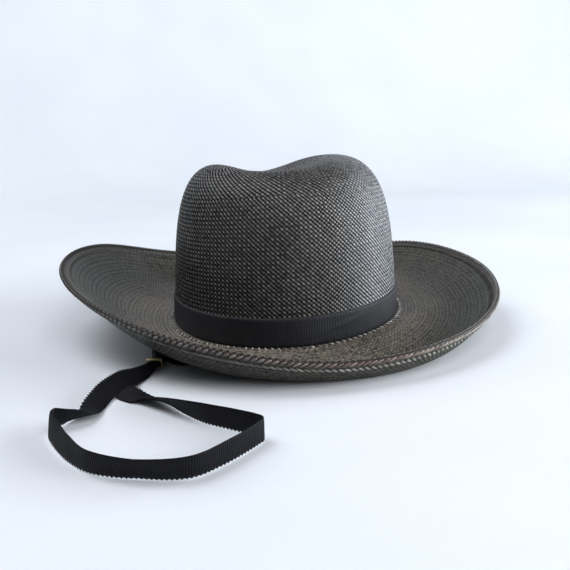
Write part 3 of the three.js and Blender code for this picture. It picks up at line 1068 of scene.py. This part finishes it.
def smoothRoute(points, step):
    # smooth curve through the points: each sample's place, its direction and how far along the list it is
    points = [Vector(p) for p in points]
    ends = [points[0] * 2 - points[1]] + points + [points[-1] * 2 - points[-2]]
    samples = []
    for k in range(len(points) - 1):
        p0, p1, p2, p3 = ends[k:k + 4]
        d0, d1, d2 = ((b - a).length ** 0.5 for a, b in ((p0, p1), (p1, p2), (p2, p3)))
        t1 = ((p1 - p0) / d0 - (p2 - p0) / (d0 + d1) + (p2 - p1) / d1) * d1
        t2 = ((p2 - p1) / d1 - (p3 - p1) / (d1 + d2) + (p3 - p2) / d2) * d1
        parts = max(1, round((p2 - p1).length / step))
        for i in range(parts + (k == len(points) - 2)):
            t = i / parts
            c2 = -3 * p1 + 3 * p2 - 2 * t1 - t2
            c3 = 2 * p1 - 2 * p2 + t1 + t2
            at = p1 + t1 * t + c2 * t * t + c3 * t * t * t
            ahead = (t1 + 2 * c2 * t + 3 * c3 * t * t).normalized()
            samples.append((at, ahead, k + t))
    return samples


def makeStrap(s):
    route = [(*at[:4], at[4] if len(at) > 4 else s["width"]) for at in s["route"]]
    middle = []
    for x, y, lift, lean, wide in route:
        tilt = math.radians(lean)
        middle.append((x, y, lift + abs(math.sin(tilt)) * wide / 2 + abs(math.cos(tilt)) * s["thick"] / 2))
    samples = smoothRoute(middle, s["step"])
    half = s["thick"] / 2 - s["ribRelief"]
    section = [(-1, share) for share in s["stations"]] + [(1, share) for share in s["stations"][::-1]]
    points = []
    places = []
    travelled = 0
    before = samples[0][0]
    for at, ahead, place in samples:
        travelled += (at - before).length
        before = at
        k = min(int(place), len(route) - 2)
        lean, wide = (route[k][n] + (route[k + 1][n] - route[k][n]) * (place - k) for n in (3, 4))
        lean = math.radians(lean)
        if math.hypot(ahead.x, ahead.y) > s["levelOver"]:
            across = Vector((ahead.y, -ahead.x, 0)).normalized()
        else:
            across = Vector((0, 1 if place < len(route) / 2 else -1, 0))
        width = across * math.cos(lean) + Vector((0, 0, math.sin(lean)))
        width = (width - ahead * width.dot(ahead)).normalized()
        thick = ahead.cross(width).normalized()
        tooth = s["toothDepth"] * (0.5 + 0.5 * math.cos(2 * math.pi * travelled / s["toothPitch"]))
        rib = s["ribRelief"] * math.cos(2 * math.pi * travelled / strapRibbon["ribPitch"])
        gather = s["gather"] * max(0, (s["width"] - wide) / s["gatheredBy"])
        for face, share in section:
            reach = share * wide / 2 - (tooth if share == 1 else 0)
            thin = s["thinness"].get(abs(share), 1)
            fold = gather * math.cos(share * math.pi * s["foldTurns"]) * (1 if thin == 1 else s["edgeFold"])
            points.append(at + width * reach + thick * (face * (half + rib) * thin + fold))
            places.append((travelled, reach))
    count = len(section)
    rows = len(samples)
    triangles, corners = tube(rows, count, lambda i, j: places[i * count + j % count], closed=False)
    for end, row in enumerate((0, rows - 1)):
        for j in range(1, count - 1):
            for n in (0, j, j + 1) if end else (0, j + 1, j):
                triangles.append(row * count + n)
                corners += places[row * count + n]
    piece = meshPiece("chinStrap", [tuple(p) for p in points], triangles, corners, "ribbon")
    piece.data.materials.append(ribbonCloth("strapRibbon", strapRibbon))
    return piece, [at * mm for at, ahead, place in samples]


chinStrap, strapPath = makeStrap(strap)
print("chin strap laid", len(chinStrap.data.polygons))

# Slider: a flat gold keeper that both strands pass through
keeper = {
    "place": (-102.5, -93, 2.5),
    "turn": -24,
    "opening": (9.4, 2.8),
    "wire": 1,
    "thickenTop": 0.7,
    "thinBelow": 0.3,
    "thinSides": 0.35,
    "length": 2,
    "bevel": 0.62,
    "segments": 3,
    "smoothAngle": 50,
    "facing": 0.9,  # a face counts as front or back when its normal's y is over this
    "nearly": 0.1,  # a point this near to a side counts as on it
}
gold = {
    "roughness": 0.3,
    "brushedRoughness": 0.16,
    "brushing": (2400, 3, (1, 1, 0.15)),
    "tarnish": (500, 2),
    "tarnishEdges": (0.4, 0.7),
    "bright": (1, 0.83, 0.47, 1),
    "dull": (0.95, 0.7, 0.34, 1),
    "bump": 0.25,
    "bumpDistance": 0.05,
}


def brushedGold(name, s):
    material, shader, draw = newMaterial(name, s["roughness"], metallic=1)
    place = draw.objectPlace()
    brushed = draw.noise(place, *s["brushing"])
    colour = draw.noise(place, *s["tarnish"]).between(*s["tarnishEdges"]).blend(s["bright"], s["dull"])
    roughness = s["roughness"] + brushed * s["brushedRoughness"]
    bump = draw.bump(brushed, s["bump"], s["bumpDistance"])
    return connect(material, shader, Base_Color=colour, Roughness=roughness, Normal=bump)


def selectParts(piece, kind, wanted):  # selects the faces or edges that are wanted, and no others
    bpy.ops.object.mode_set(mode="EDIT")
    bpy.ops.mesh.select_mode(type=kind)
    bpy.ops.mesh.select_all(action="DESELECT")
    bpy.ops.object.mode_set(mode="OBJECT")
    for part in piece.data.polygons if kind == "FACE" else piece.data.edges:
        part.select = wanted(part)
    bpy.ops.object.mode_set(mode="EDIT")


def roundOff(piece, width, segments):
    rounding = piece.modifiers.new("rounding", "BEVEL")
    rounding.width = width
    rounding.segments = segments
    rounding.limit_method = "ANGLE"
    bpy.ops.object.modifier_apply(modifier="rounding")


def makeSlider(s):
    bpy.ops.object.select_all(action="DESELECT")
    wide = s["opening"][0] + 2 * s["wire"]
    high = s["opening"][1] + 2 * s["wire"]
    bpy.ops.mesh.primitive_cube_add(size=1)
    piece = bpy.context.object
    piece.name = "strapSlider"
    piece.scale = (wide * mm, s["length"] * mm, high * mm)
    bpy.ops.object.transform_apply(location=False, rotation=False, scale=True)
    selectParts(piece, "FACE", lambda face: abs(face.normal.y) > s["facing"])
    bpy.ops.mesh.inset(thickness=s["wire"] * mm)
    bpy.ops.mesh.bridge_edge_loops()
    bpy.ops.mesh.select_all(action="SELECT")
    bpy.ops.mesh.normals_make_consistent(inside=False)
    bpy.ops.object.mode_set(mode="OBJECT")
    for vertex in piece.data.vertices:
        # the bar that shows is thick, and the bar below and the sides are slim
        if abs(vertex.co.z) > (high / 2 - s["nearly"]) * mm:
            vertex.co.z += s["thickenTop"] * mm if vertex.co.z > 0 else s["thinBelow"] * mm
        if abs(vertex.co.x) > (wide / 2 - s["nearly"]) * mm:
            vertex.co.x -= math.copysign(s["thinSides"] * mm, vertex.co.x)
    roundOff(piece, s["bevel"] * mm, s["segments"])
    piece.rotation_euler = (0, 0, math.radians(s["turn"]))
    piece.location = Vector(s["place"]) * mm
    bpy.ops.object.transform_apply(location=True, rotation=True, scale=True)
    bpy.ops.object.shade_smooth_by_angle(angle=math.radians(s["smoothAngle"]))
    piece.data.materials.append(brushedGold("brushedGold", gold))
    return piece


strapSlider = makeSlider(keeper)
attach(strapSlider, "root")
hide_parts("strap_slider")
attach(chinStrap, "root")
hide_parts("chin_strap")
print("slider made", len(strapSlider.data.polygons))

# Pale cloth table that runs up into the backdrop
table = {"size": 3.2, "wallHeight": 2.2, "bend": 0.7, "segments": 12, "nearly": 0.01}
tableCloth = {
    "roughness": 0.85,
    "specular": 0.2,
    "twillPitch": 0.0022,
    "twillWay": (0.8, 0.6),
    "twillShade": 0.04,
    "thread": (900, 3),
    "folds": (9, 3, (1, 3.5, 1)),
    "drift": (3, 2),
    "driftEdges": (0.35, 0.65),
    "white": (0.79, 0.815, 0.855, 1),
    "cool": (0.75, 0.78, 0.83, 1),
    "between": (0.6, 0.63, 0.68, 1),
    "relief": (0.12, 0.3, 14),  # of the twill, the threads and the folds
    "bump": 0.3,
    "bumpDistance": 0.3,
}


def paleCloth(name, s):
    # twill lines, loose threads, and low folds that run across the cloth
    material, shader, draw = newMaterial(name, s["roughness"], Specular_IOR_Level=s["specular"])
    place = draw.objectPlace()
    slanted = place.part(0) * s["twillWay"][0] + place.part(1) * s["twillWay"][1]
    twill = draw.maths("SINE", slanted * (2 * math.pi / s["twillPitch"])) * 0.5 + 0.5
    heights = (twill, draw.noise(place, *s["thread"]), draw.noise(place, *s["folds"]))
    colour = draw.noise(place, *s["drift"]).between(*s["driftEdges"]).blend(s["cool"], s["white"])
    colour = ((1 - twill) * s["twillShade"]).blend(colour, s["between"])
    height = sum(height * relief for height, relief in zip(heights, s["relief"]))
    bump = draw.bump(height, s["bump"], s["bumpDistance"])
    return connect(material, shader, Base_Color=colour, Normal=bump)


def makeTable(s):
    bpy.ops.object.select_all(action="DESELECT")
    bpy.ops.mesh.primitive_plane_add(size=s["size"])
    piece = bpy.context.object
    piece.name = "paleTable"
    back = s["size"] / 2 - s["nearly"]
    selectParts(piece, "EDGE", lambda edge: all(piece.data.vertices[v].co.y > back for v in edge.vertices))
    bpy.ops.mesh.extrude_region_move(TRANSFORM_OT_translate={"value": (0, 0, s["wallHeight"])})
    bpy.ops.object.mode_set(mode="OBJECT")
    roundOff(piece, s["bend"], s["segments"])
    bpy.ops.object.shade_smooth()
    piece.data.materials.append(paleCloth("paleCloth", tableCloth))
    return piece


paleTable = makeTable(table)

# Soft studio light, strongest and lowest from the right
lights = {
    "right": {"place": (1.95, 0.17, 0.48), "power": 29, "shade": (0.88, 0.94, 1)},
    "rightFront": {"place": (1.69, -0.98, 0.48), "power": 38, "shade": (0.95, 0.97, 1)},
    "front": {"place": (0.33, -1.24, 1.6), "power": 13, "shade": (0.95, 0.97, 1)},
    "leftHigh": {"place": (-0.83, 0.12, 1.86), "power": 17, "shade": (0.93, 0.96, 1)},
    "leftBack": {"place": (-1.25, 0.8, 1.3), "power": 8, "shade": (0.93, 0.96, 1)},
}
lightSize = 1.2
lightsAim = (0, 0, 0.06)
sky = {"shade": (0.93, 0.96, 1, 1), "strength": 0.09}


def makeLights():
    for name, s in lights.items():
        data = bpy.data.lights.new(name, "AREA")
        data.shape = "DISK"
        data.size = lightSize
        data.energy = s["power"]
        data.color = s["shade"]
        lamp = bpy.data.objects.new(name, data)
        lamp.location = s["place"]
        aim = Vector(lightsAim) - Vector(s["place"])
        lamp.rotation_euler = aim.to_track_quat("-Z", "Y").to_euler()
        bpy.context.scene.collection.objects.link(lamp)
    world = bpy.data.worlds.new("studio")
    world.use_nodes = True
    world.node_tree.nodes["Background"].inputs["Color"].default_value = sky["shade"]
    world.node_tree.nodes["Background"].inputs["Strength"].default_value = sky["strength"]
    bpy.context.scene.world = world


makeLights()
bpy.context.scene.view_settings.view_transform = "Standard"
print("stage and lights set")
